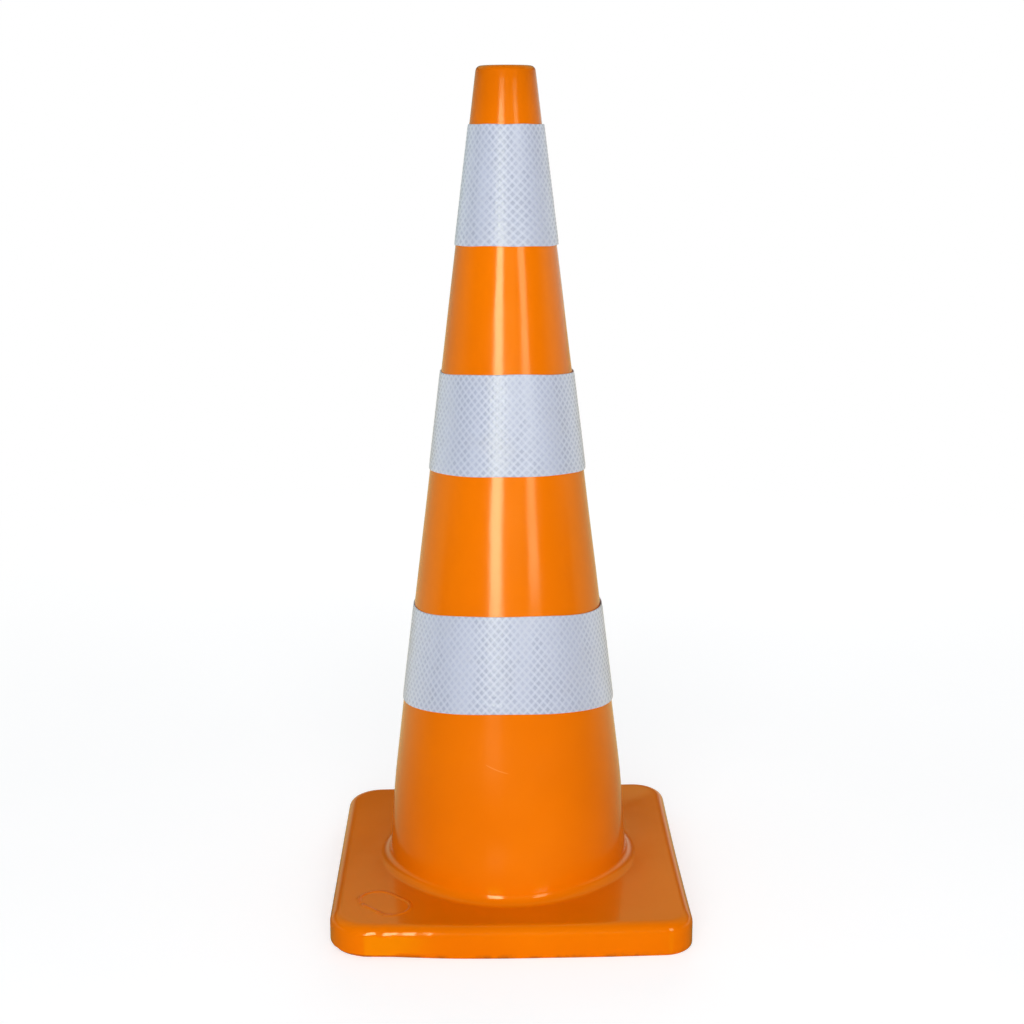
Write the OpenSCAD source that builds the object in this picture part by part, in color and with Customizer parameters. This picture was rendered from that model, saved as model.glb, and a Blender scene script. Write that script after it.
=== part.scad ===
// Traffic cone, 900 mm high, with three slip-on reflective collars.
//
// Millimetres, +Z up. The origin is the centre of the underside, where the cone stands on the road.
// The orange shell is one flexible PVC moulding: cone wall and square base. A black
// ballast ring fills the underside of the base. Each collar is a prismatic film on a white backing,
// rests on the taper and lifts off over the tip.

/* [Cone] */
// Height from the ground to the tip
cone_h = 900; // [860:10:1000]
// Outer radius of the straight wall, carried up to the height of the tip
tip_r = 30.5; // [28:0.5:36]
// Growth of the wall's radius for each millimetre down
taper = 0.125; // [0.115:0.005:0.135]
// Thickness of the wall, across the radius
wall = 2.8; // [2:0.2:4]

/* [Tip] */
// Radius of the opening in the tip
opening_r = 20; // [15:0.5:22]
// Depth of the straight part of the opening, with its rounded mouth
opening_depth = 18; // [10:1:25]
// Height of the flare from the opening out to the wall
flare_h = 18; // [12:1:30]
// Rounding of the tip's outer edge
tip_round = 6; // [2:0.5:7]
// Rounding of the opening's mouth
mouth_round = 2; // [0.5:0.5:2.5]

/* [Foot] */
// Height at which the wall turns steeper
foot_h = 130; // [100:5:180]
// Growth of the radius for each millimetre down, below that height
foot_taper = 0.07; // [0.04:0.01:0.12]
// Radius of the hollow curve from the wall onto the base
foot_fillet_r = 12; // [6:0.5:20]

/* [Base] */
// Side of the square base
base_side = 380; // [360:5:420]
// Height of the base's top face
base_h = 35; // [28:1:45]
// Radius of the base's corners, seen from above
base_corner_r = 38; // [28:1:60]
// Rounding of the base's top edge
base_edge_r = 11; // [6:1:11]
// Thickness of the base's skin and skirt
skin = 4; // [3:0.5:5]
// How far the skirt's lower lip turns in under the ballast
skirt_lip = 2; // [1:0.5:3]
// Height of the skirt's lower lip
skirt_lip_h = 3; // [2:0.5:5]

/* [Blank plate] */
// Length of the raised oval outline on the base, which bears no marking
plate_l = 64; // [50:1:80]
// Width of the raised oval outline
plate_w = 40; // [25:1:45]
// Width of its line
plate_line = 2.6; // [1.5:0.1:4]
// Height of its line above the base
plate_rise = 0.8; // [0.4:0.1:1.5]
// Distance from the cone's axis to the middle of the outline, along the diagonal
plate_reach = 188; // [180:1:200]

/* [Ballast] */
// Clearance between the ballast and the skirt
ballast_gap = 0.2; // [0.1:0.1:0.5]
// Side of each square pocket in the ballast's underside
pocket_side = 62; // [40:1:66]
// Depth of each pocket
pocket_depth = 18; // [8:1:22]
// Distance from the axis to the middle of a pocket, along X and along Y
pocket_reach = 135; // [133:1:138]
// Radius of a pocket's corners
pocket_corner_r = 8; // [4:1:14]

/* [Collars] */
// Thickness of the reflective film
film_t = 0.6; // [0.4:0.1:1]
// Thickness of the white backing
backing_t = 0.6; // [0.4:0.1:1]
// Clearance between a backing and the cone's wall
collar_gap = 0.25; // [0.1:0.05:0.5]
// Width of the welded lap where a film's two ends meet
lap_w = 14; // [8:1:25]
// Distance from the tip down to the upper collar's top edge
upper_drop = 59; // [40:1:90]
// Height of the upper collar
upper_h = 122; // [100:1:150]
// Distance from the tip down to the middle collar's top edge
middle_drop = 313; // [270:1:350]
// Height of the middle collar
middle_h = 104; // [80:1:120]
// Distance from the tip down to the lower collar's top edge
lower_drop = 566; // [500:1:600]
// Height of the lower collar
lower_h = 102; // [80:1:115]

/* [Hidden] */

$fn = 96;
arc_steps = 6;
// A cutter runs this far past the face it opens
past = 1;

wall_angle = atan(taper);
foot_angle = atan(foot_taper);
foot_r = tip_r + (cone_h - foot_h) * taper;
cavity_h = base_h - skin;
orange = [0.94, 0.45, 0.04];
film_grey = [0.8, 0.83, 0.88];

// Outer radius of the cone's wall at height z
function wall_r(z) = z > foot_h
    ? tip_r + (cone_h - z) * taper
    : foot_r + (foot_h - z) * foot_taper;

// Points on an arc of radius r about centre, from one angle to another
function arc(centre, r, from, to) = [
    for (i = [0 : arc_steps])
        let (angle = from + (to - from) * i / arc_steps)
        centre + r * [cos(angle), sin(angle)]
];

// Centres of the arcs that round the tip and curve the wall onto the base
tip_centre = [
    tip_r + tip_round * (taper - 1 / cos(wall_angle)),
    cone_h - tip_round,
];
fillet_z = base_h + foot_fillet_r;
fillet_centre = [wall_r(fillet_z) + foot_fillet_r / cos(foot_angle), fillet_z];

// A block with rounded corners and a rounded top edge, standing on z = 0
module block(side, height, corner_r, edge_r) {
    straight = side - 2 * corner_r;
    module half_profile(half_width) {
        square([half_width - edge_r, height]);
        square([half_width, height - edge_r]);
        translate([half_width - edge_r, height - edge_r])
            circle(edge_r);
    }
    module prism() {
        translate([0, straight / 2, 0])
            rotate([90, 0, 0])
                linear_extrude(straight) {
                    half_profile(side / 2);
                    mirror([1, 0]) half_profile(side / 2);
                }
    }
    prism();
    rotate([0, 0, 90]) prism();
    for (x = [-1, 1], y = [-1, 1])
        translate([x * straight / 2, y * straight / 2, 0])
            rotate_extrude()
                intersection() {
                    half_profile(corner_r);
                    square([corner_r, height]);
                }
}

// A square block with rounded corners and sharp edges, standing on z = 0
module plain_block(side, height, corner_r) {
    linear_extrude(height)
        rounded_square(side, corner_r);
}

module rounded_square(side, corner_r) {
    straight = side - 2 * corner_r;
    square([side, straight], center = true);
    square([straight, side], center = true);
    for (x = [-1, 1], y = [-1, 1])
        translate([x * straight / 2, y * straight / 2])
            circle(corner_r);
}

// Everything inside the outer face of the wall and the tip
module cone_solid() {
    rotate_extrude()
        polygon(concat(
            [[0, cone_h]],
            arc(tip_centre, tip_round, 90, wall_angle),
            [[foot_r, foot_h]],
            arc(fillet_centre, foot_fillet_r, 180 + foot_angle, 270),
            [[fillet_centre.x, cavity_h], [0, cavity_h]]
        ));
}

// The hollow that the next cone of a stack stands in, open at the ground and at the tip
module cone_hollow() {
    bore_z = cone_h - opening_depth;
    flare_z = bore_z - flare_h;
    rotate_extrude()
        polygon(concat(
            [
                [0, -past],
                [wall_r(-past) - wall, -past],
                [foot_r - wall, foot_h],
                [wall_r(flare_z) - wall, flare_z],
                [opening_r, bore_z],
            ],
            arc([opening_r + mouth_round, cone_h - mouth_round], mouth_round, 180, 90),
            [[opening_r + mouth_round, cone_h + past], [0, cone_h + past]]
        ));
}

// Space under the base's skin: full width inside, narrower between the skirt's lower lips.
// It starts at the ground, or at the given depth below it.
module ballast_space(gap, below = 0) {
    inner_side = base_side - 2 * (skin + gap);
    inner_corner_r = base_corner_r - skin - gap;
    translate([0, 0, skirt_lip_h + gap])
        block(inner_side, cavity_h - skirt_lip_h - gap, inner_corner_r, base_edge_r - skin);
    translate([0, 0, -below])
        plain_block(inner_side - 2 * skirt_lip, base_h / 2 + below, inner_corner_r - skirt_lip);
}

// Raised oval outline near one corner of the base
module blank_plate() {
    module oval(inset) {
        straight = plate_l - plate_w;
        end_r = plate_w / 2 - inset;
        square([straight, 2 * end_r], center = true);
        for (side = [-1, 1])
            translate([side * straight / 2, 0])
                circle(end_r);
    }
    rotate([0, 0, -135])
        translate([plate_reach, 0, base_h - skin / 2])
            rotate([0, 0, 90])
                linear_extrude(skin / 2 + plate_rise)
                    difference() {
                        oval(0);
                        oval(plate_line);
                    }
}

module cone_body() {
    color(orange)
        difference() {
            union() {
                block(base_side, base_h, base_corner_r, base_edge_r);
                cone_solid();
                blank_plate();
            }
            ballast_space(0, past);
            cone_hollow();
        }
}

module base_ballast() {
    color("dimgray")
        difference() {
            ballast_space(ballast_gap);
            cone_hollow();
            for (x = [-1, 1], y = [-1, 1])
                translate([x * pocket_reach, y * pocket_reach, -past])
                    plain_block(pocket_side, pocket_depth + past, pocket_corner_r);
        }
}

// One sleeve of a collar, or a sector of one, lying off the wall by gap
module sleeve(drop, height, gap, thickness, angle = 360) {
    top = cone_h - drop;
    bottom = top - height;
    rotate_extrude(angle = angle)
        polygon([
            [wall_r(bottom) + gap, bottom],
            [wall_r(bottom) + gap + thickness, bottom],
            [wall_r(top) + gap + thickness, top],
            [wall_r(top) + gap, top],
        ]);
}

module collar_backing(drop, height) {
    color("white")
        sleeve(drop, height, collar_gap, backing_t);
}

// The film goes once round, and its end is welded over its start at the back,
// so the sleeve is two layers thick there and one layer everywhere else
module collar_film(drop, height) {
    film_gap = collar_gap + backing_t;
    lap_angle = lap_w / wall_r(cone_h - drop - height / 2) * 180 / PI;
    color(film_grey)
        difference() {
            sleeve(drop, height, film_gap, 2 * film_t);
            rotate([0, 0, 90 + lap_angle / 2])
                sleeve(
                    drop - past,
                    height + 2 * past,
                    film_gap + film_t,
                    film_t + past,
                    360 - lap_angle
                );
        }
}

module upper_collar_film() { collar_film(upper_drop, upper_h); }
module upper_collar_backing() { collar_backing(upper_drop, upper_h); }
module middle_collar_film() { collar_film(middle_drop, middle_h); }
module middle_collar_backing() { collar_backing(middle_drop, middle_h); }
module lower_collar_film() { collar_film(lower_drop, lower_h); }
module lower_collar_backing() { collar_backing(lower_drop, lower_h); }

cone_body();
base_ballast();
upper_collar_film();
upper_collar_backing();
middle_collar_film();
middle_collar_backing();
lower_collar_film();
lower_collar_backing();
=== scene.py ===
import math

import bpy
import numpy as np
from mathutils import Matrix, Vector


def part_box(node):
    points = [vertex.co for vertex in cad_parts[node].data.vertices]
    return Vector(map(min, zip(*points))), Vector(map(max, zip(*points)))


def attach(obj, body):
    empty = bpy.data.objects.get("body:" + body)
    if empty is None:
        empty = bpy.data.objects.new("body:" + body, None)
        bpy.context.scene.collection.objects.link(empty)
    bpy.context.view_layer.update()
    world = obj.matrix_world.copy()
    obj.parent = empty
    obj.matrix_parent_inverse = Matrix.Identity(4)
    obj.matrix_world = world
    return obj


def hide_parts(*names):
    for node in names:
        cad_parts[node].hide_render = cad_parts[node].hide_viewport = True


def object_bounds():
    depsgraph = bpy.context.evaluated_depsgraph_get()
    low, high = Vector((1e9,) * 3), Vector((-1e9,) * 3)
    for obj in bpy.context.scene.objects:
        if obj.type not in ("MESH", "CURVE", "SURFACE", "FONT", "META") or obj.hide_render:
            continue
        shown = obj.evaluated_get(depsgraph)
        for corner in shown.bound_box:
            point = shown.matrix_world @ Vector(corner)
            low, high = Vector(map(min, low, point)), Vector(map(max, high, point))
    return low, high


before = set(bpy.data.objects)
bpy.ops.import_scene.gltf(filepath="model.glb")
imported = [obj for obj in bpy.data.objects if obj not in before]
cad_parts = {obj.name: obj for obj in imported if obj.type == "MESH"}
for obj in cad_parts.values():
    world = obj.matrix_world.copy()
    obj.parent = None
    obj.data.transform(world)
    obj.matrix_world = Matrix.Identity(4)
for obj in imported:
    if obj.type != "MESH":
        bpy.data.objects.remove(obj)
cad_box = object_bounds()

# Looks for a traffic cone with three slip-on reflective collars.
#
# Metres, +Z up, with the cone's axis on the Z axis and its base standing on z = 0. The orange
# moulding and the collars are lofted through rings of points, so every piece is one closed mesh.

MM = 0.001
TURN = 2 * math.pi

# ---------------------------------------------------------------- sizes, as the CAD design has them

BODY_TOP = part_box("cone_body")[1]
HEIGHT = BODY_TOP.z
BASE_HALF = BODY_TOP.x

# Tip and wall. TAPER is the radius gained per metre down. Below its straight opening, the bore
# flares out over FLARE_H to the inside of the wall.
TIP_R = 30.5 * MM
TAPER = 0.125
WALL = 2.8 * MM
OPENING_R = 20 * MM
OPENING_DEPTH = 18 * MM
FLARE_H = 18 * MM
TIP_ROUND = 6 * MM
MOUTH_ROUND = 2 * MM

# Foot of the wall: steeper below FOOT_H, eased in over FOOT_BLEND, with a hollow fillet at its end
FOOT_H = 130 * MM
FOOT_TAPER = 0.07
FOOT_BLEND = 9 * MM
FOOT_FILLET_R = 12 * MM

# Base: a skin with a turned-down skirt, and a lip along the inside of the skirt's lower edge
BASE_H = 35 * MM
BASE_EDGE_R = 11 * MM
BASE_FOOT_R = 2.5 * MM
SKIN = 4 * MM
SKIRT_LIP = 2 * MM
SKIRT_LIP_H = 3 * MM

# Plate: the blank raised oval outline on one corner of the base. PLATE_REACH is its distance from
# the axis, PLATE_ANGLE its direction in degrees and PLATE_SOFT the half width of its line's edges.
PLATE_L = 64 * MM
PLATE_W = 40 * MM
PLATE_LINE = 2.6 * MM
PLATE_RISE = 0.8 * MM
PLATE_SOFT = 0.55 * MM
PLATE_REACH = 188 * MM
PLATE_ANGLE = 225

# Collars: a white backing, and a film whose end laps over its start
COLLAR_GAP = 0.25 * MM
BACKING_T = 0.58 * MM
FILM_T = 0.6 * MM
LAP_W = 14 * MM

WALL_ANGLE = math.degrees(math.atan(TAPER))
FOOT_ANGLE = math.degrees(math.atan(FOOT_TAPER))


# ---------------------------------------------------------------- shape functions

def smooth(t):
    """0 below 0, 1 above 1, and an S-curve between."""
    t = np.clip(t, 0, 1)
    return t * t * (3 - 2 * t)


def hump(x, width):
    """A bell of height 1 at x = 0 that has died away by two widths."""
    return np.exp(-((x / width) ** 2))


def arc(centre, radius, start, end, steps):
    """Points (r, z) on an arc about centre, from one angle to another in degrees."""
    angles = np.radians(np.linspace(start, end, steps + 1))
    return [(centre[0] + radius * math.cos(a), centre[1] + radius * math.sin(a)) for a in angles]


def wall_r(z):
    """Outer radius of the wall at height z. The steeper foot eases in round FOOT_H."""
    below = FOOT_BLEND * np.log1p(np.exp((FOOT_H - z) / FOOT_BLEND))
    return TIP_R + (HEIGHT - z) * TAPER - below * (TAPER - FOOT_TAPER)


def make_waves(seed, count, amplitude, around, up):
    """Seeded low waves over an angle and a height. Each is an amplitude, a number of waves round,
    radians per metre of height, and a phase."""
    rng = np.random.default_rng(seed)
    return [
        (
            amplitude / count * rng.uniform(0.6, 1.0),
            int(rng.integers(*around)),
            rng.uniform(*up) * rng.choice([-1, 1]),
            rng.uniform(0, TURN),
        )
        for _ in range(count)
    ]


def wave_sum(waves, theta, z):
    """The waves' total at each angle and height."""
    return sum(a * np.cos(n * theta + k * z + phase) for a, n, k, phase in waves)


WALL_WAVES = make_waves(11, 9, 0.32 * MM, (2, 9), (8, 70))
TOP_WAVES = make_waves(5, 6, 0.5 * MM, (2, 7), (10, 40))
SKIRT_WAVES = make_waves(23, 6, 0.9 * MM, (3, 17), (0, 20))


def square_r(theta, half, corner_r):
    """Distance from the axis to a rounded square's outline, along each angle."""
    c = np.maximum(np.abs(np.cos(theta)), np.abs(np.sin(theta)))
    s = np.minimum(np.abs(np.cos(theta)), np.abs(np.sin(theta)))
    straight = half - corner_r
    on_side = half / c
    along = straight * (c + s)
    reach = along ** 2 - 2 * straight ** 2 + corner_r ** 2
    on_corner = along + np.sqrt(np.maximum(reach, 0))
    return np.where(on_side * s > straight, on_corner, on_side)


def plate_height(x, y):
    """Height of the raised oval line above the base's top."""
    c, s = math.cos(math.radians(PLATE_ANGLE)), math.sin(math.radians(PLATE_ANGLE))
    reach = x * c + y * s - PLATE_REACH
    along = y * c - x * s
    past_straight = np.maximum(np.abs(along) - (PLATE_L - PLATE_W) / 2, 0)
    off_line = np.abs(np.hypot(past_straight, reach) - (PLATE_W - PLATE_LINE) / 2)
    return PLATE_RISE * smooth((PLATE_LINE / 2 + PLATE_SOFT - off_line) / (2 * PLATE_SOFT))


# ---------------------------------------------------------------- mesh building

def signed_volume(points, faces):
    """Volume inside four-cornered faces, negative when they face inwards."""
    a, b, c, d = (points[faces[:, k]] for k in range(4))
    return np.einsum("ij,ij->i", a, np.cross(b, c) + np.cross(c, d)).sum() / 6


def loft(name, rings, closed, uv=None, sharp=38):
    """A closed mesh through rings of points. Each ring is a loop; the last ring joins the first if
    closed, and otherwise the two end rings are capped. uv gives each point's place on a sheet.
    Edges sharper than `sharp` degrees are shaded as creases."""
    count, size = rings.shape[:2]
    points = rings.reshape(-1, 3)
    i = np.arange(count if closed else count - 1)[:, None]
    j = np.arange(size)[None, :]
    after_i, after_j = (i + 1) % count, (j + 1) % size
    corners = [i * size + j, i * size + after_j, after_i * size + after_j, after_i * size + j]
    faces = np.stack(corners, axis=-1).reshape(-1, 4)
    inside_out = signed_volume(points, faces) < 0
    polygons = (faces[:, ::-1] if inside_out else faces).tolist()
    if not closed:
        first, last = list(range(size)), list(range((count - 1) * size, count * size))
        polygons += [first, last[::-1]] if inside_out else [first[::-1], last]
    mesh = bpy.data.meshes.new(name)
    mesh.from_pydata(points.tolist(), [], polygons)
    if uv is not None:
        corner_points = np.zeros(len(mesh.loops), np.int32)
        mesh.loops.foreach_get("vertex_index", corner_points)
        layer = mesh.uv_layers.new(name="sheet")
        layer.data.foreach_set("uv", uv.reshape(-1, 2)[corner_points].astype(np.float32).ravel())
    mesh.polygons.foreach_set("use_smooth", np.ones(len(mesh.polygons), bool))
    mesh.set_sharp_from_angle(angle=math.radians(sharp))
    mesh.update()
    piece = bpy.data.objects.new(name, mesh)
    bpy.context.scene.collection.objects.link(piece)
    return piece


def round_ring(theta, radius, z):
    """A ring of points about the axis: radius and z are numbers, or arrays along theta."""
    z = np.broadcast_to(z, theta.shape)
    return np.stack([radius * np.cos(theta), radius * np.sin(theta), z], axis=-1)


# ---------------------------------------------------------------- orange moulding

# How far each corner of the base has moved to the right, to the back and up
CREEP = {
    (1, 1): (4.5 * MM, 2 * MM, 4.5 * MM),
    (-1, 1): (-2.5 * MM, 0, 0.5 * MM),
    (-1, -1): (0, 0, 0),
    (1, -1): (1.5 * MM, 0, 0),
}
FRONT_BULGE = 5 * MM
RIGHT_HOLLOW = 1.5 * MM
# Corner radii, counted anticlockwise from the right and back corner
CORNER_RADII = np.array([38, 38, 42, 31]) * MM

# The foot's swell at the front: how far, how wide in degrees, and the height above the base at
# which it ends, having eased off over SWELL_EASE
FRONT_SWELL = 6 * MM
SWELL_WIDTH = 33
SWELL_TOP = 80 * MM
SWELL_EASE = 70 * MM

# Wear near the front left corner: small dents along the upper edge, a worn stretch of the lower
# edge (how far in and up), and nicks in it. Places and widths are in degrees round the axis.
# DENTS_ROUND is the number of dents in a full turn. A nick is a place, a width and a depth, and it
# reaches up by NICK_UP of its depth.
DENTS_AT, DENTS_WIDTH, DENTS_ROUND, DENT_DEPTH = 236, 9, 78, 0.45 * MM
WORN_AT, WORN_WIDTH, WORN_IN, WORN_UP = 231, 14, 2.2 * MM, 1.4 * MM
NICKS = ((218.5, 1.1, 1.3 * MM), (223.0, 0.8, 0.8 * MM), (229, 1.4, 0.9 * MM))
NICK_UP = 0.7

# Spacing of the moulding's points in degrees: along the base's sides, within CORNER_ZONE of a
# plain corner, and within PLATE_ZONE of the corner with the oval outline
EVEN_STEP = 1.5
CORNER_ZONE, CORNER_STEP = 9, 0.6
PLATE_ZONE, PLATE_STEP = 12, 0.25

# Steps along the moulding's section. The base's top is stepped finely where the outline lies.
TIP_STEPS, WALL_STEPS, FILLET_STEPS, BORE_STEPS, MOUTH_STEPS = 7, 96, 17, 20, 5
TOP_STEPS = np.concatenate([
    np.linspace(0, 0.2, 6)[1:],
    np.linspace(0.2, 0.67, 54)[1:],
    np.linspace(0.67, 1, 9)[1:],
])
EDGE_STEPS, LOWER_EDGE_STEPS = 8, 4
# Heights of the rings down the base's side, and the height where the side's waves begin
SKIRT_LEVELS = (20 * MM, 14 * MM, 8 * MM, 5 * MM)
SKIRT_WAVE_TOP = 26 * MM
# How far from the tip and from the base the wall's ripple is at its full depth
RIPPLE_FADE = 20 * MM


def body_angles():
    """Angles round the moulding: closer at the base's corners, closest across the oval outline."""
    just_short = 0.01
    angles = []
    for corner in (45, 135, 225, 315):
        at_plate = corner == PLATE_ANGLE
        zone, step = (PLATE_ZONE, PLATE_STEP) if at_plate else (CORNER_ZONE, CORNER_STEP)
        angles.append(np.arange(corner - 45, corner - zone - just_short, EVEN_STEP))
        angles.append(np.arange(corner - zone, corner + zone - just_short, step))
        angles.append(np.arange(corner + zone, corner + 45 - just_short, EVEN_STEP))
    return np.radians(np.concatenate(angles))


def outer_profile():
    """Outer face (r, z) from the rim of the opening down to the end of the fillet on the base."""
    tip_centre = (
        TIP_R + TIP_ROUND * (TAPER - 1 / math.cos(math.radians(WALL_ANGLE))),
        HEIGHT - TIP_ROUND,
    )
    fillet_z = BASE_H + FOOT_FILLET_R
    fillet_centre = (
        float(wall_r(fillet_z)) + FOOT_FILLET_R / math.cos(math.radians(FOOT_ANGLE)),
        fillet_z,
    )
    tip = arc(tip_centre, TIP_ROUND, 90, WALL_ANGLE, TIP_STEPS)
    fillet = arc(fillet_centre, FOOT_FILLET_R, 180 + FOOT_ANGLE, 270, FILLET_STEPS)
    wall_z = np.linspace(tip[-1][1], fillet[0][1], WALL_STEPS)[1:-1]
    wall = [(float(wall_r(z)), z) for z in wall_z]
    return tip + wall + fillet


def hollow_profile():
    """Inner face (r, z) from the underside of the base's skin up to the rim of the opening."""
    bore_z = HEIGHT - OPENING_DEPTH
    flare_z = bore_z - FLARE_H
    wall_z = np.linspace(BASE_H - SKIN, flare_z, BORE_STEPS)
    wall = [(float(wall_r(z)) - WALL, z) for z in wall_z]
    softened = [(OPENING_R + MM, bore_z + MM), (OPENING_R, bore_z + 3 * MM)]
    mouth_centre = (OPENING_R + MOUTH_ROUND, HEIGHT - MOUTH_ROUND)
    return wall + softened + arc(mouth_centre, MOUTH_ROUND, 180, 90, MOUTH_STEPS)


def outline_r(theta, inset):
    """Distance from the axis to the base's outline, or to a line inset from it."""
    corner_r = np.take(CORNER_RADII, (theta // (TURN / 4)).astype(int) % 4)
    return square_r(theta, BASE_HALF - inset, corner_r - inset)


def out_of_true(ring, share):
    """The soft base has crept: its corners have moved, its front side bulges and its right side is
    a little hollow. Share is 0 at the foot of the wall and 1 at the base's edge."""
    x, y = ring[:, :1] / BASE_HALF, ring[:, 1:2] / BASE_HALF
    moved = sum(
        (1 + sx * x) * (1 + sy * y) / 4 * np.array(move) for (sx, sy), move in CREEP.items()
    )
    moved[:, 2:] *= ring[:, 2:] / BASE_H
    moved[:, 1:2] -= FRONT_BULGE * np.maximum(-y, 0) * (1 - x ** 2)
    moved[:, :1] -= RIGHT_HOLLOW * np.maximum(x, 0) * (1 - y ** 2)
    return ring + moved * share


def base_ring(theta, inset, z):
    """A rounded square ring, inset from the base's outline."""
    return out_of_true(round_ring(theta, outline_r(theta, inset), z), 1)


def front_swell(theta, z):
    """The foot of the wall swells a little towards the front, where it meets the base."""
    spread = hump(theta - math.radians(270), math.radians(SWELL_WIDTH))
    return FRONT_SWELL * spread * smooth((BASE_H + SWELL_TOP - z) / SWELL_EASE)


def wall_rings(theta):
    """Outside of the tip, the wall and the fillet, faintly rippled but for both ends."""
    rings = []
    for r, z in outer_profile():
        fade = smooth((HEIGHT - z) / RIPPLE_FADE) * smooth((z - BASE_H) / RIPPLE_FADE)
        ripple = wave_sum(WALL_WAVES, theta, z) * fade
        rings.append(round_ring(theta, r + ripple + front_swell(theta, z), z))
    return rings


def top_rings(theta):
    """The base's top, where circles at the fillet's end grow into the rounded square. Gives the
    rings, and how far each point lies on the raised outline (0 to 1)."""
    root_r = outer_profile()[-1][0] + front_swell(theta, BASE_H)
    edge_r = outline_r(theta, BASE_EDGE_R)
    rings, on_plate = [], []
    for t in TOP_STEPS:
        radius = root_r + (edge_r - root_r) * t
        ring = round_ring(theta, radius, BASE_H)
        swell = wave_sum(TOP_WAVES, theta, radius) * math.sin(math.pi * t)
        raised = plate_height(ring[:, 0], ring[:, 1])
        ring[:, 2] += raised + swell
        rings.append(out_of_true(ring, t))
        on_plate.append(raised / PLATE_RISE)
    return rings, on_plate


def side_rings(theta):
    """The base's rounded upper edge, its slightly wavy side and its worn and nicked lower edge."""
    rings = []
    dented = hump(theta - math.radians(DENTS_AT), math.radians(DENTS_WIDTH))
    dents = DENT_DEPTH * np.cos(theta * DENTS_ROUND) * dented
    for angle in np.radians(np.linspace(90, 0, EDGE_STEPS + 1))[1:]:
        inset = BASE_EDGE_R * (1 - math.cos(angle)) + dents * math.sin(2 * angle)
        rings.append(base_ring(theta, inset, BASE_H - BASE_EDGE_R * (1 - math.sin(angle))))
    skirt = wave_sum(SKIRT_WAVES, theta, 0) * 0.5
    for z in SKIRT_LEVELS:
        rings.append(base_ring(theta, -np.minimum(skirt, 0) * (1 - z / SKIRT_WAVE_TOP), z))
    nicks = sum(
        depth * hump(theta - math.radians(at), math.radians(width)) for at, width, depth in NICKS
    )
    worn = hump(theta - math.radians(WORN_AT), math.radians(WORN_WIDTH))
    low_inset = np.maximum(-skirt, 0) + nicks + worn * WORN_IN
    for angle in np.radians(np.linspace(0, 90, LOWER_EDGE_STEPS + 1)):
        inset = low_inset + BASE_FOOT_R * (1 - math.cos(angle))
        z = BASE_FOOT_R * (1 - math.sin(angle)) + nicks * NICK_UP + worn * WORN_UP
        rings.append(base_ring(theta, inset, z))
    return rings


def under_rings(theta):
    """Underneath: skirt lip, inside of the skirt, underside of the skin, then up the bore."""
    lip, chamfer = SKIN + SKIRT_LIP, 1.5 * MM
    section = (
        (lip, 0),
        (lip, SKIRT_LIP_H),
        (SKIN, SKIRT_LIP_H),
        (SKIN, BASE_H - BASE_EDGE_R),
        (SKIN + chamfer, BASE_H - SKIN - chamfer),
        (BASE_EDGE_R, BASE_H - SKIN),
    )
    rings = [base_ring(theta, inset, z) for inset, z in section]
    return rings + [round_ring(theta, r, z) for r, z in hollow_profile()]


def make_cone_body():
    """The whole orange moulding: one loft that starts and ends at the rim of the opening."""
    theta = body_angles()
    wall = wall_rings(theta)
    top, top_on_plate = top_rings(theta)
    outside = wall + top + side_rings(theta)
    rings = outside + under_rings(theta)
    piece = loft("cone_moulding", np.array(rings), closed=True, sharp=50)

    # The inner face is matt, up to the mouth of the opening
    inside = np.zeros(len(rings), np.int32)
    inside[len(outside) - 1 : len(rings) - MOUTH_STEPS - 1] = 1
    piece.data.materials.append(orange_pvc("orange_outside", glossy=True))
    piece.data.materials.append(orange_pvc("orange_inside", glossy=False))
    piece.data.polygons.foreach_set("material_index", np.repeat(inside, len(theta)))

    on_plate = np.zeros((len(rings), len(theta)))
    on_plate[len(wall) : len(wall) + len(top)] = top_on_plate
    attribute = piece.data.attributes.new("on_plate", "FLOAT", "POINT")
    attribute.data.foreach_set("value", on_plate.ravel())
    return piece


# ---------------------------------------------------------------- collars

# The film's lattice: points across a cell, cell size, embossed depth, and the rim along the edges
# where it is crushed to EMBOSS_LEVEL of that depth
CELL_STEPS = 8
CELL_W = 8.3 * MM
CELL_H = 9.0 * MM
EMBOSS = 0.3 * MM
EMBOSS_LEVEL = 0.35
RIM_W = 1.6 * MM
FILM_BEVEL = 0.2 * MM
# Where the film's end climbs onto its start: the length of the ramp, and the slack under the end
RAMP_W = 8 * MM
RAMP_SLACK = 0.08 * MM
# Gap between the film and its backing, and how far the backing shows past the film's edges
WELD_GAP = 0.03 * MM
BACKING_BEVEL = 0.12 * MM
BACKING_PAST = 0.25 * MM
BACKING_POINTS = 360

# How far each collar's edges rise at the front and back, and fall at the sides
PANEL_ARCH = {"upper_collar": 0.5 * MM, "middle_collar": 2.5 * MM, "lower_collar": 6 * MM}
# How much further the lower edge hangs at the sides
SIDE_DROP = {"upper_collar": 0, "middle_collar": 0, "lower_collar": 4 * MM}
EDGE_WOBBLE = 0.22 * MM
# Where a collar is loose (degrees), and how far it stands off there
LOOSE_AT, LOOSE_BY = 10, 0.9 * MM


def collar_bulge(theta):
    """A collar stands a little off the wall on one side, where the sleeve is loose."""
    facing, tight = np.cos(theta - math.radians(LOOSE_AT)), 0.1
    return LOOSE_BY * smooth((facing - tight) / (1 - tight))


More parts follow.
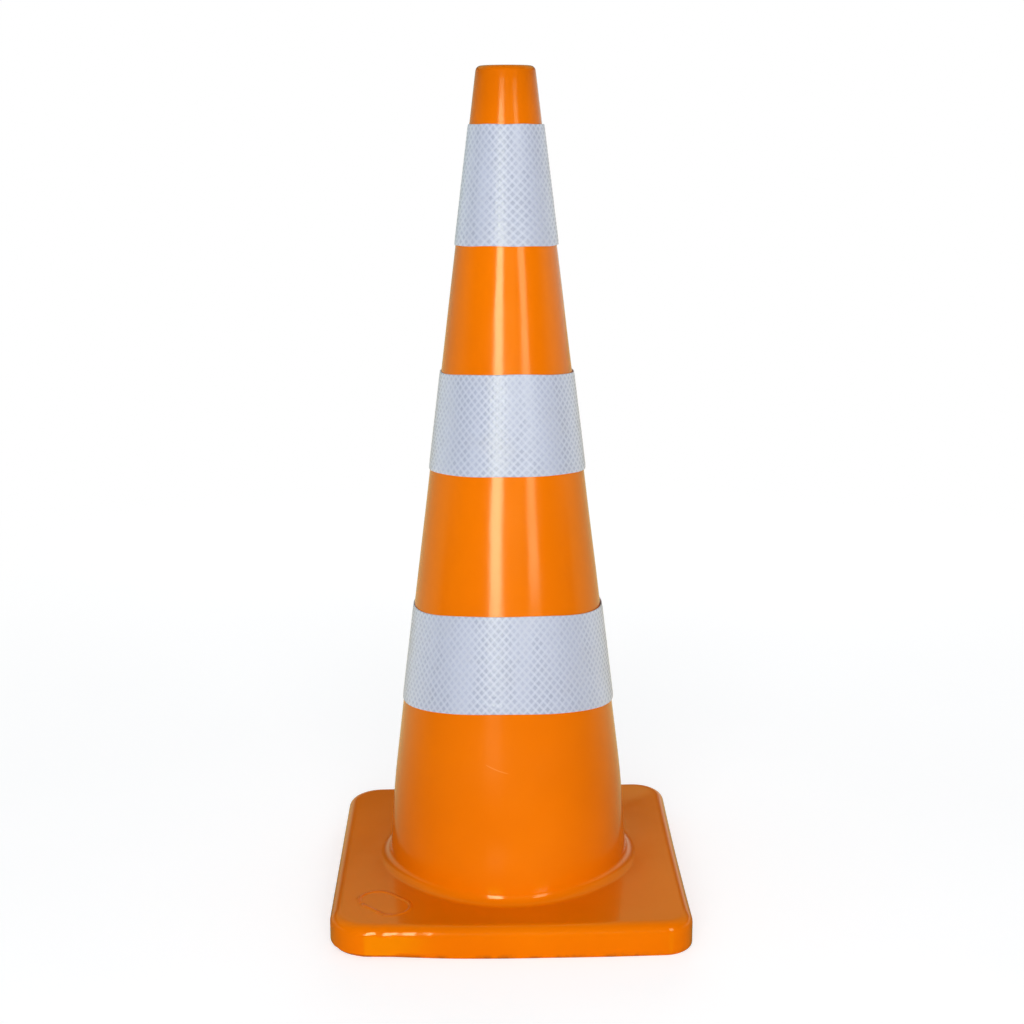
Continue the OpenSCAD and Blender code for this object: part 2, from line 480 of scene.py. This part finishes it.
def collar_edges(collar, seed, theta):
    """How far the lower and the upper edge of a collar leave its level circles. The panels are cut
    straighter than the cone unrolls, so both edges stand high at the front and low at the sides."""
    arch = -PANEL_ARCH[collar] * np.cos(2 * theta)
    wobbles = []
    for rng in (np.random.default_rng(seed), np.random.default_rng(seed + 50)):
        phases = rng.uniform(0, TURN, 3)
        wobbles.append(sum(EDGE_WOBBLE * np.cos(n * theta + p) for n, p in zip((2, 3, 7), phases)))
    drop = SIDE_DROP[collar] * (1 + np.cos(2 * theta)) / 2
    return arch - drop + wobbles[0], arch + wobbles[1]


def creases(seed, theta, z, low, high, radius):
    """Faint raised creases in a film, slanting slightly, in its lower half."""
    count, rise, width = 9, 0.22 * MM, 1.3 * MM
    rng = np.random.default_rng(seed)
    total = np.zeros(np.broadcast(theta, z).shape)
    for _ in range(count):
        at = rng.uniform(0, TURN)
        height = low + (high - low) * rng.uniform(0.08, 0.5)
        slant = rng.uniform(-0.22, -0.08)
        length = rng.uniform(14, 34) * MM
        along = ((theta - at + math.pi) % TURN - math.pi) * radius
        across = z - height - slant * along
        total = total + rise * hump(across, width) * hump(along, length)
    return total


def embossing(columns, rows, from_edge):
    """The lattice in the film's outer face: pillowed cells between sunk lines. Along the film's
    edges it is crushed to one level."""
    pillow = np.sqrt(np.abs(
        np.sin(math.pi * (columns + rows) / CELL_STEPS)
        * np.sin(math.pi * (columns - rows) / CELL_STEPS)
    ))
    crushed = smooth((from_edge - RIM_W / 2) / RIM_W)
    return EMBOSS * (EMBOSS_LEVEL + (pillow - EMBOSS_LEVEL) * crushed) - EMBOSS


def make_film(collar, seed, material):
    """The prismatic film: a strip that goes once round and laps over its own start at the back."""
    low, high = (v.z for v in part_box(collar + "_film"))
    middle_r = float(wall_r((low + high) / 2))
    cells_round = round(TURN * middle_r / CELL_W)
    cells_up = round((high - low) / CELL_H)
    step = TURN / (cells_round * CELL_STEPS)
    lap = LAP_W / middle_r
    columns = np.arange(cells_round * CELL_STEPS + round(lap / step) + 1)[:, None]
    rows = np.arange(cells_up * CELL_STEPS + 1)[None, :]
    theta = math.pi / 2 - lap / 2 + columns * step
    ramp = RAMP_W / middle_r
    lift = (FILM_T + RAMP_SLACK) * smooth((columns * step - TURN + ramp) / ramp)

    share = rows / rows[0, -1]
    at_bottom, at_top = collar_edges(collar, seed, theta)
    z = low + (high - low) * share + at_bottom * (1 - share) + at_top * share
    inner = wall_r(z) + COLLAR_GAP + BACKING_T + WELD_GAP + collar_bulge(theta) + lift
    from_edge = np.minimum(share, 1 - share) * (high - low)
    relief = embossing(columns, rows, from_edge)
    relief = relief + creases(seed, theta, z, low, high, middle_r)
    outer = inner + FILM_T + relief

    # Each ring is the strip's section at one angle: bevel, outer face, bevel, inner face. The
    # plain inner face takes one point per cell.
    back = slice(None, None, -CELL_STEPS)
    radius = np.concatenate([
        outer[:, :1] - FILM_BEVEL, outer, outer[:, -1:] - FILM_BEVEL, inner[:, back],
    ], axis=1)
    height = np.concatenate([
        z[:, :1] - FILM_BEVEL, z, z[:, -1:] + FILM_BEVEL, z[:, back],
    ], axis=1)
    rings = np.stack([radius * np.cos(theta), radius * np.sin(theta), height], axis=-1)
    v = np.concatenate([[0], rows[0], rows[0, -1:], rows[0, back]]) / CELL_STEPS
    u = np.broadcast_to(columns / CELL_STEPS, radius.shape)
    uv = np.stack([u, np.broadcast_to(v[None, :], radius.shape)], axis=-1)
    piece = loft(collar + "_sheet", rings, closed=False, uv=uv, sharp=70)
    piece.data.materials.append(material)
    return piece


def make_backing(collar, seed, material):
    """The white sleeve under the film, showing only at its edges and inside."""
    low, high = (v.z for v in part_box(collar + "_backing"))
    theta = np.linspace(0, TURN, BACKING_POINTS + 1)[:-1]
    at_bottom, at_top = collar_edges(collar, seed, theta)
    bottom = low + at_bottom - BACKING_PAST
    top = high + at_top + BACKING_PAST

    def ring(share, out):
        z = bottom + (top - bottom) * share
        return round_ring(theta, wall_r(z) + COLLAR_GAP + out + collar_bulge(theta), z)

    bevel = BACKING_BEVEL / (high - low)
    up = np.linspace(0, 1, 14)
    down = (1 - bevel, *np.linspace(0.97, 0.03, 13), bevel)
    rings = [ring(share, 0) for share in up]
    rings.append(ring(1, BACKING_T - BACKING_BEVEL))
    rings += [ring(share, BACKING_T) for share in down]
    rings.append(ring(0, BACKING_T - BACKING_BEVEL))
    piece = loft(collar + "_sleeve", np.array(rings), closed=True, sharp=50)
    piece.data.materials.append(material)
    return piece


# ---------------------------------------------------------------- material helpers

class Nodes:
    """The node tree of a material or the world, with short calls for the nodes used here."""

    def __init__(self, owner, output="ShaderNodeOutputMaterial"):
        self.tree = owner.node_tree
        self.tree.nodes.clear()
        self.output = self.tree.nodes.new(output)

    def add(self, kind, inputs=None, **settings):
        node = self.tree.nodes.new(kind)
        for key, value in settings.items():
            setattr(node, key, value)
        for key, value in (inputs or {}).items():
            self.put(node.inputs[key], value)
        return node

    def put(self, socket, value):
        """Link another socket into this one, or set it to a plain value."""
        if isinstance(value, bpy.types.NodeSocket):
            self.tree.links.new(value, socket)
        else:
            socket.default_value = value

    def show(self, shader):
        """Use a shader as the material's surface, or as the world."""
        self.put(self.output.inputs["Surface"], shader.outputs[0])

    def math(self, operation, a, b=0.0):
        node = self.add("ShaderNodeMath", operation=operation)
        self.put(node.inputs[0], a)
        self.put(node.inputs[1], b)
        return node.outputs[0]

    def plus(self, a, b):
        return self.math("ADD", a, b)

    def minus(self, a, b):
        return self.math("SUBTRACT", a, b)

    def times(self, a, b):
        return self.math("MULTIPLY", a, b)

    def band(self, value, low, high, to_low=0.0, to_high=1.0):
        """Value carried smoothly from low..high to to_low..to_high, and held outside."""
        node = self.add("ShaderNodeMapRange", interpolation_type="SMOOTHSTEP")
        for socket, item in zip(node.inputs, (value, low, high, to_low, to_high)):
            self.put(socket, item)
        return node.outputs[0]

    def mix(self, share, a, b, blend="MIX"):
        node = self.add("ShaderNodeMix", data_type="RGBA", blend_type=blend)
        self.put(node.inputs[0], share)
        self.put(node.inputs[6], a)
        self.put(node.inputs[7], b)
        return node.outputs[2]

    def noise(self, vector, scale, detail=2.0, roughness=0.5):
        inputs = {"Vector": vector, "Scale": scale, "Detail": detail, "Roughness": roughness}
        return self.add("ShaderNodeTexNoise", inputs).outputs["Fac"]

    def cells(self, vector, scale):
        return self.add("ShaderNodeTexVoronoi", {"Vector": vector, "Scale": scale}).outputs

    def bump(self, height, distance, strength=1.0, normal=None):
        inputs = {"Height": height, "Distance": distance, "Strength": strength}
        if normal is not None:
            inputs["Normal"] = normal
        return self.add("ShaderNodeBump", inputs).outputs["Normal"]

    def spot(self):
        """The place of the point being shaded, in its object's own frame."""
        return self.add("ShaderNodeTexCoord").outputs["Object"]

    def parts(self, vector):
        """X, Y and Z of a vector."""
        return self.add("ShaderNodeSeparateXYZ", {"Vector": vector}).outputs

    def vector(self, x, y):
        return self.add("ShaderNodeCombineXYZ", {0: x, 1: y}).outputs[0]

    def length(self, vector):
        node = self.add("ShaderNodeVectorMath", {0: vector}, operation="LENGTH")
        return node.outputs["Value"]

    def channel(self, value, index):
        """Red, green or blue of a colour."""
        return self.add("ShaderNodeSeparateColor", {"Color": value}).outputs[index]

    def glow(self, strength, tint=(1.0, 1.0, 1.0, 1.0)):
        return self.add("ShaderNodeEmission", {"Color": tint, "Strength": strength})

    def choose(self, share, a, b):
        """Shader a where share is 0, shader b where it is 1."""
        return self.add("ShaderNodeMixShader", {0: share, 1: a.outputs[0], 2: b.outputs[0]})

    def both(self, a, b):
        return self.add("ShaderNodeAddShader", {0: a.outputs[0], 1: b.outputs[0]})


def new_material(name):
    material = bpy.data.materials.new(name)
    material.use_nodes = True
    return material, Nodes(material)


def colour(r, g, b):
    return (r, g, b, 1.0)


# ---------------------------------------------------------------- materials

# Warms what is reflected on the orange plastic and on the film
SHEEN_TINT = colour(1.0, 0.9, 0.3)

# A scuff is an angle round the wall from the front, a height in metres, a slope down to the right
# and a length. Angle and length are in radians. Its ends curl up by SCUFF_BOW times the angle
# squared, and it fades from SCUFF_CORE to SCUFF_EDGE off its middle line. SCUFFED_R is the wall's
# typical radius, which turns an angle into a distance.
LONG_SCUFF = (-0.11, 0.178, 0.4, 0.12)
SCUFF_BOW = 0.09
SCUFF_CORE, SCUFF_EDGE = 0.3 * MM, 0.8 * MM
SCUFFED_R = 0.11


def scuff_mask(n, place, seed, count):
    """Thin curved scuffs on the wall: one near the front and others by chance. Angles run from
    -pi to pi, so a scuff drawn beyond pi doesn't show."""
    rng = np.random.default_rng(seed)
    x, y, z = place
    angle = n.math("ARCTAN2", x, n.times(y, -1.0))
    scuffs = [LONG_SCUFF]
    for _ in range(count):
        at, height = rng.uniform(0.7, 5.6), rng.uniform(0.06, 0.86)
        slope, length = rng.uniform(-1.2, 1.2), rng.uniform(0.1, 0.4)
        scuffs.append((at, height, slope, length))
    total = None
    for at, height, slope, length in scuffs:
        along = n.minus(angle, at)
        bow = n.times(n.times(along, along), SCUFF_BOW)
        line = n.plus(n.times(along, -slope * SCUFFED_R), n.plus(bow, height))
        off = n.math("ABSOLUTE", n.minus(z, line))
        across = n.band(off, SCUFF_CORE, SCUFF_EDGE, 1.0, 0.0)
        ends = n.band(n.math("ABSOLUTE", along), length * 0.5, length, 1.0, 0.0)
        scuff = n.times(across, ends)
        total = scuff if total is None else n.math("MAXIMUM", total, scuff)
    return total


def orange_pvc(name, glossy):
    """Moulded flexible PVC. The outside is glossy; the inside is matt."""
    material, n = new_material(name)
    spot = n.spot()
    x, y, z = n.parts(spot)

    # Colour: cloudy, darker at the tip, grimy at the lower edge, with dark specks and pale scuffs
    cloud = n.band(n.noise(spot, 5.0, 3.0), 0.35, 0.65)
    tone = n.mix(cloud, colour(0.83, 0.168, 0.0), colour(0.88, 0.184, 0.0))
    tip = n.band(z, HEIGHT - 75 * MM, HEIGHT - 10 * MM)
    tone = n.mix(n.times(tip, 0.45), tone, colour(0.62, 0.125, 0.0))
    grime = n.times(n.band(z, 7 * MM, 1 * MM), n.band(n.noise(spot, 60, 4), 0.4, 0.65))
    tone = n.mix(n.times(grime, 0.6), tone, colour(0.30, 0.07, 0.01))
    specks = n.cells(spot, 26.0)
    within = n.band(specks["Distance"], 0.018, 0.030, 1.0, 0.0)
    chosen = n.math("GREATER_THAN", n.channel(specks["Color"], 0), 0.86)
    speckled = n.times(within, chosen)
    tone = n.mix(n.times(speckled, 0.75), tone, colour(0.16, 0.04, 0.01))
    scuffs = scuff_mask(n, (x, y, z), seed=4, count=5)
    tone = n.mix(n.times(scuffs, 0.16), tone, colour(0.95, 0.42, 0.12))

    # Relief: orange peel, flow of the moulding, and the scuffs
    normal = n.bump(n.noise(spot, 420.0, 2.0), 0.05 * MM, 0.5)
    normal = n.bump(n.noise(spot, 38.0, 2.0), 0.35 * MM, 0.35, normal)
    normal = n.bump(scuffs, 0.04 * MM, 0.3, normal)

    # Gloss: smeared, sharper on the base, duller on the scuffs and the raised outline
    smears = n.band(n.noise(spot, 11.0, 5.0, 0.6), 0.35, 0.75, 0.14, 0.20)
    smears = n.times(smears, n.band(z, BASE_H + 3 * MM, BASE_H + 20 * MM, 0.6, 1.0))
    on_plate = n.add("ShaderNodeAttribute", attribute_name="on_plate").outputs["Fac"]
    dull = n.times(n.plus(scuffs, n.times(on_plate, 2.0)), 0.25)
    n.show(n.add("ShaderNodeBsdfPrincipled", {
        "Base Color": tone,
        "Roughness": n.plus(smears, dull) if glossy else 0.55,
        "IOR": 1.5,
        "Specular Tint": SHEEN_TINT,
        "Normal": normal,
    }))
    return material


def reflective_film():
    """Clear-faced prismatic film: bluish cells between paler welded lines, and a fine sparkle."""
    material, n = new_material("prismatic_film")
    spot = n.spot()
    u, v = n.parts(n.add("ShaderNodeUVMap", uv_map="sheet").outputs[0])[:2]
    sum_uv, difference_uv = n.plus(u, v), n.minus(u, v)
    rising = n.math("PINGPONG", sum_uv, 0.5)
    falling = n.math("PINGPONG", difference_uv, 0.5)
    in_cell = n.band(n.math("MINIMUM", rising, falling), 0.08, 0.30)
    crossing = n.band(n.math("MAXIMUM", rising, falling), 0.06, 0.24, 1.0, 0.0)
    line = n.minus(1.0, in_cell)

    # Face on, the prisms send light back to its source and look greyer than they do at a slant
    facing = n.add("ShaderNodeLayerWeight", {"Blend": 0.5}).outputs["Facing"]
    slant = n.band(facing, 0.22, 0.72)
    pale = n.mix(slant, colour(0.53, 0.57, 0.69), colour(0.79, 0.85, 0.98))
    deep = n.mix(slant, colour(0.395, 0.43, 0.545), colour(0.70, 0.76, 0.90))

    # How deep each cell's tone is: by the cell, by upright zones of the sheet, and by the prism
    which_cell = n.vector(n.math("FLOOR", sum_uv), n.math("FLOOR", difference_uv))
    by_cell = n.add("ShaderNodeTexWhiteNoise", {"Vector": which_cell}).outputs["Value"]
    upright = n.vector(u, n.times(v, 0.15))
    by_zone = n.band(n.noise(upright, 0.3, 2.0), 0.35, 0.6, 0.25, 0.9)
    strength = n.times(by_zone, n.plus(n.times(by_cell, 0.6), 0.7))
    glint = n.channel(n.cells(spot, 900.0)["Color"], 0)
    sparkle = n.times(n.minus(glint, 0.5), 0.28)
    tone = n.mix(n.plus(n.times(in_cell, strength), sparkle), pale, deep)
    crossed = n.times(crossing, n.times(by_zone, 0.35))
    tone = n.mix(crossed, tone, colour(0.76, 0.79, 0.88))
    dust = n.band(n.noise(spot, 30.0, 4.0), 0.5, 0.8)
    tone = n.mix(n.times(dust, 0.12), tone, colour(0.50, 0.49, 0.48))

    normal = n.bump(glint, 0.12 * MM, 0.5)
    normal = n.bump(n.noise(spot, 60.0, 2.0), 0.5 * MM, 0.25, normal)
    n.show(n.add("ShaderNodeBsdfPrincipled", {
        "Base Color": tone,
        "Roughness": n.band(line, 0.0, 1.0, 0.24, 0.40),
        "IOR": 1.5,
        "Specular Tint": SHEEN_TINT,
        "Normal": normal,
    }))
    return material


def white_backing():
    """White vinyl sheet with a fine fabric-like grain."""
    material, n = new_material("white_vinyl")
    spot = n.spot()
    shade = n.band(n.noise(spot, 25.0, 4.0), 0.3, 0.7)
    n.show(n.add("ShaderNodeBsdfPrincipled", {
        "Base Color": n.mix(shade, colour(0.70, 0.70, 0.68), colour(0.82, 0.82, 0.81)),
        "Roughness": n.band(shade, 0.0, 1.0, 0.45, 0.6),
        "Normal": n.bump(n.noise(spot, 900.0, 2.0), 0.1 * MM, 0.5),
    }))
    return material


def black_ballast():
    """Recycled PVC: nearly black, with coarse grains and scraped patches."""
    material, n = new_material("recycled_ballast")
    spot = n.spot()
    grains = n.cells(spot, 420.0)
    pale_grain = n.band(n.channel(grains["Color"], 1), 0.6, 1.0)
    tone = n.mix(pale_grain, colour(0.018, 0.018, 0.018), colour(0.07, 0.065, 0.06))
    scraped = n.band(n.noise(spot, 18.0, 5.0, 0.65), 0.5, 0.7)
    tone = n.mix(n.times(scraped, 0.5), tone, colour(0.11, 0.10, 0.095))
    normal = n.bump(grains["Distance"], 0.6 * MM, 0.5)
    normal = n.bump(n.noise(spot, 90.0, 3.0), 1 * MM, 0.4, normal)
    n.show(n.add("ShaderNodeBsdfPrincipled", {
        "Base Color": tone,
        "Roughness": n.band(scraped, 0.0, 1.0, 0.62, 0.85),
        "Normal": normal,
    }))
    return material


# ---------------------------------------------------------------- the object

def place_piece(piece, node, body):
    """Let a piece stand for one of the CAD's nodes, and move with that node's body."""
    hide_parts(node)
    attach(piece, body)


place_piece(make_cone_body(), "cone_body", "root")

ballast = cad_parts["base_ballast"]
ballast.data.materials.clear()
ballast.data.materials.append(black_ballast())

film_material, backing_material = reflective_film(), white_backing()
for seed, collar in enumerate(("upper_collar", "middle_collar", "lower_collar"), start=1):
    film = make_film(collar, seed, film_material)
    place_piece(film, collar + "_film", collar)
    backing = make_backing(collar, seed, backing_material)
    place_piece(backing, collar + "_backing", collar)


# ---------------------------------------------------------------- studio

def make_floor():
    """A pale floor. Seen by the camera, it fades into the white background away from the object.
    Glossy surfaces see it as a warm glow, brighter behind the object, with a sheen near the base.
    To all other light it is plain and pale."""
    bpy.ops.mesh.primitive_plane_add(size=40)
    floor = bpy.context.object
    floor.name = "floor"
    material, n = new_material("floor")
    spot = n.spot()
    away = n.length(spot)

    pale = n.mix(n.noise(spot, 3.0, 2.0), colour(0.59, 0.59, 0.59), colour(0.62, 0.62, 0.62))
    near = n.both(n.add("ShaderNodeBsdfDiffuse", {"Color": pale}), n.glow(0.62))
    seen = n.choose(n.band(away, 0.5, 2.2), near, n.glow(1.0))

    glow_by_depth = n.band(n.parts(spot)[1], -0.3, 0.6, 0.10, 0.75)
    near_base = n.band(away, 0.34, 0.44, 1.0, 0.0)
    sheen_tint = n.mix(near_base, colour(0, 0, 0), colour(0.03, 0.15, 0.0))
    sheen = n.add("ShaderNodeBsdfGlossy", {"Color": sheen_tint, "Roughness": 0.1})
    mirrored = n.both(n.glow(glow_by_depth, colour(1.0, 0.87, 0.45)), sheen)

    bounce = n.add("ShaderNodeBsdfDiffuse", {"Color": colour(0.85, 0.85, 0.85)})
    ray = n.add("ShaderNodeLightPath").outputs
    unseen = n.choose(ray["Is Glossy Ray"], bounce, mirrored)
    n.show(n.choose(ray["Is Camera Ray"], unseen, seen))
    floor.data.materials.append(material)


def make_world():
    """White to the camera, and even soft light for every surface. Reflections never show it."""
    world = bpy.data.worlds.new("studio")
    world.use_nodes = True
    bpy.context.scene.world = world
    n = Nodes(world, "ShaderNodeOutputWorld")
    x, _, z = n.parts(n.add("ShaderNodeTexCoord").outputs["Generated"])
    lit = n.mix(n.band(z, 0.0, 0.9), colour(0.37, 0.37, 0.375), colour(0.34, 0.34, 0.345))
    cool = n.mix(n.band(x, -0.7, 0.4), colour(0.88, 1.0, 1.06), colour(1.0, 1.0, 1.0))
    lit = n.mix(1.0, lit, cool, blend="MULTIPLY")
    by_camera = n.add("ShaderNodeLightPath").outputs["Is Camera Ray"]
    final = n.mix(by_camera, lit, colour(1, 1, 1))
    n.show(n.add("ShaderNodeBackground", {"Color": final, "Strength": 1.0}))
    world.cycles_visibility.glossy = False


def make_surroundings():
    """What the glossy surfaces reflect: a dim studio, bright low down at its sides and back, and
    bright again above a dark band. It lights nothing and the camera doesn't see it."""
    bpy.ops.mesh.primitive_uv_sphere_add(segments=48, ring_count=24, radius=12)
    dome = bpy.context.object
    dome.name = "surroundings"
    material, n = new_material("surroundings")
    outward = n.add("ShaderNodeVectorMath", {0: n.spot()}, operation="NORMALIZE").outputs[0]
    x, y, z = n.parts(outward)
    low_tint = n.mix(n.band(x, -0.5, 0.5), colour(0.62, 0.68, 0.45), colour(1.0, 0.95, 0.8))
    tint = n.mix(n.band(z, 0.28, 0.38), low_tint, colour(1.0, 1.0, 0.42))
    low_level = n.times(n.band(z, 0.12, 0.36, 1.0, 0.0), n.band(y, -0.5, 0.1, 0.03, 0.9))
    high_level = n.times(n.band(z, 0.385, 0.45, 0.12, 0.62), n.band(y, -0.3, 0.3, 0.1, 1.0))
    n.show(n.glow(n.math("MAXIMUM", low_level, high_level), tint))
    material.cycles.emission_sampling = "NONE"
    dome.data.materials.append(material)
    dome.visible_camera = False
    dome.visible_diffuse = False
    dome.visible_shadow = False
    dome.visible_transmission = False


def area_light(name, place, target, width, height, watts, glossy):
    """A rectangular light aimed at a point, hidden from the camera, and from reflections unless
    it is glossy."""
    data = bpy.data.lights.new(name, "AREA")
    data.shape = "RECTANGLE"
    data.size, data.size_y = width, height
    data.energy = watts
    light = bpy.data.objects.new(name, data)
    light.location = place
    light.rotation_euler = (Vector(target) - Vector(place)).to_track_quat("-Z", "Y").to_euler()
    light.visible_glossy = glossy
    light.visible_camera = False
    bpy.context.scene.collection.objects.link(light)
    return light


# Each strip: degrees to the right of the front, width, lower end, colour and watts
STRIPS = {
    "strip_left": (-15, 0.52, 0.2, (1.0, 1.12, 2.0), 18.5),
    "strip_right": (33, 0.44, 0.3, (1.0, 1.1, 1.8), 6.8),
}
STRIP_TOP = 1.37
STRIP_DISTANCE = 2.0


def make_lights():
    """A broad key and a weaker back fill light the surfaces. Two tall soft strips near the camera
    show only as the streaks down the cone."""
    middle = (0, 0, HEIGHT * 0.45)
    area_light("key", (-0.15, -3.2, 1.0), middle, 2.6, 1.4, 80, glossy=False)
    area_light("back_fill", (0.3, 3.2, 0.9), middle, 2.6, 1.4, 40, glossy=False)
    for name, (azimuth, width, bottom, tint, watts) in STRIPS.items():
        a, middle_z = math.radians(azimuth), (bottom + STRIP_TOP) / 2
        place = (STRIP_DISTANCE * math.sin(a), -STRIP_DISTANCE * math.cos(a), middle_z)
        tall = STRIP_TOP - bottom
        light = area_light(name, place, (0, 0, middle_z), width, tall, watts, glossy=True)
        light.data.color = tint
        light.visible_diffuse = False


def make_camera():
    """The eye is a little below the tip's height, two heights away, looking down at the base.
    Places are in parts of the object's height."""
    low, high = cad_box
    size = high.z - low.z
    data = bpy.data.cameras.new("camera")
    data.sensor_width = 36
    data.lens = 59.37
    camera = bpy.data.objects.new("camera", data)
    camera.location = (-0.029 * size, -1.9926 * size, 0.9293 * size)
    target = Vector((0.006 * size, 0, 0.4773 * size))
    aim = (target - camera.location).to_track_quat("-Z", "Y").to_matrix()
    roll = Matrix.Rotation(math.radians(-0.16), 3, "Z")
    camera.rotation_euler = (aim @ roll).to_euler()
    bpy.context.scene.collection.objects.link(camera)
    bpy.context.scene.camera = camera


make_floor()
make_world()
make_surroundings()
make_lights()
make_camera()
bpy.context.scene.view_settings.view_transform = "Standard"
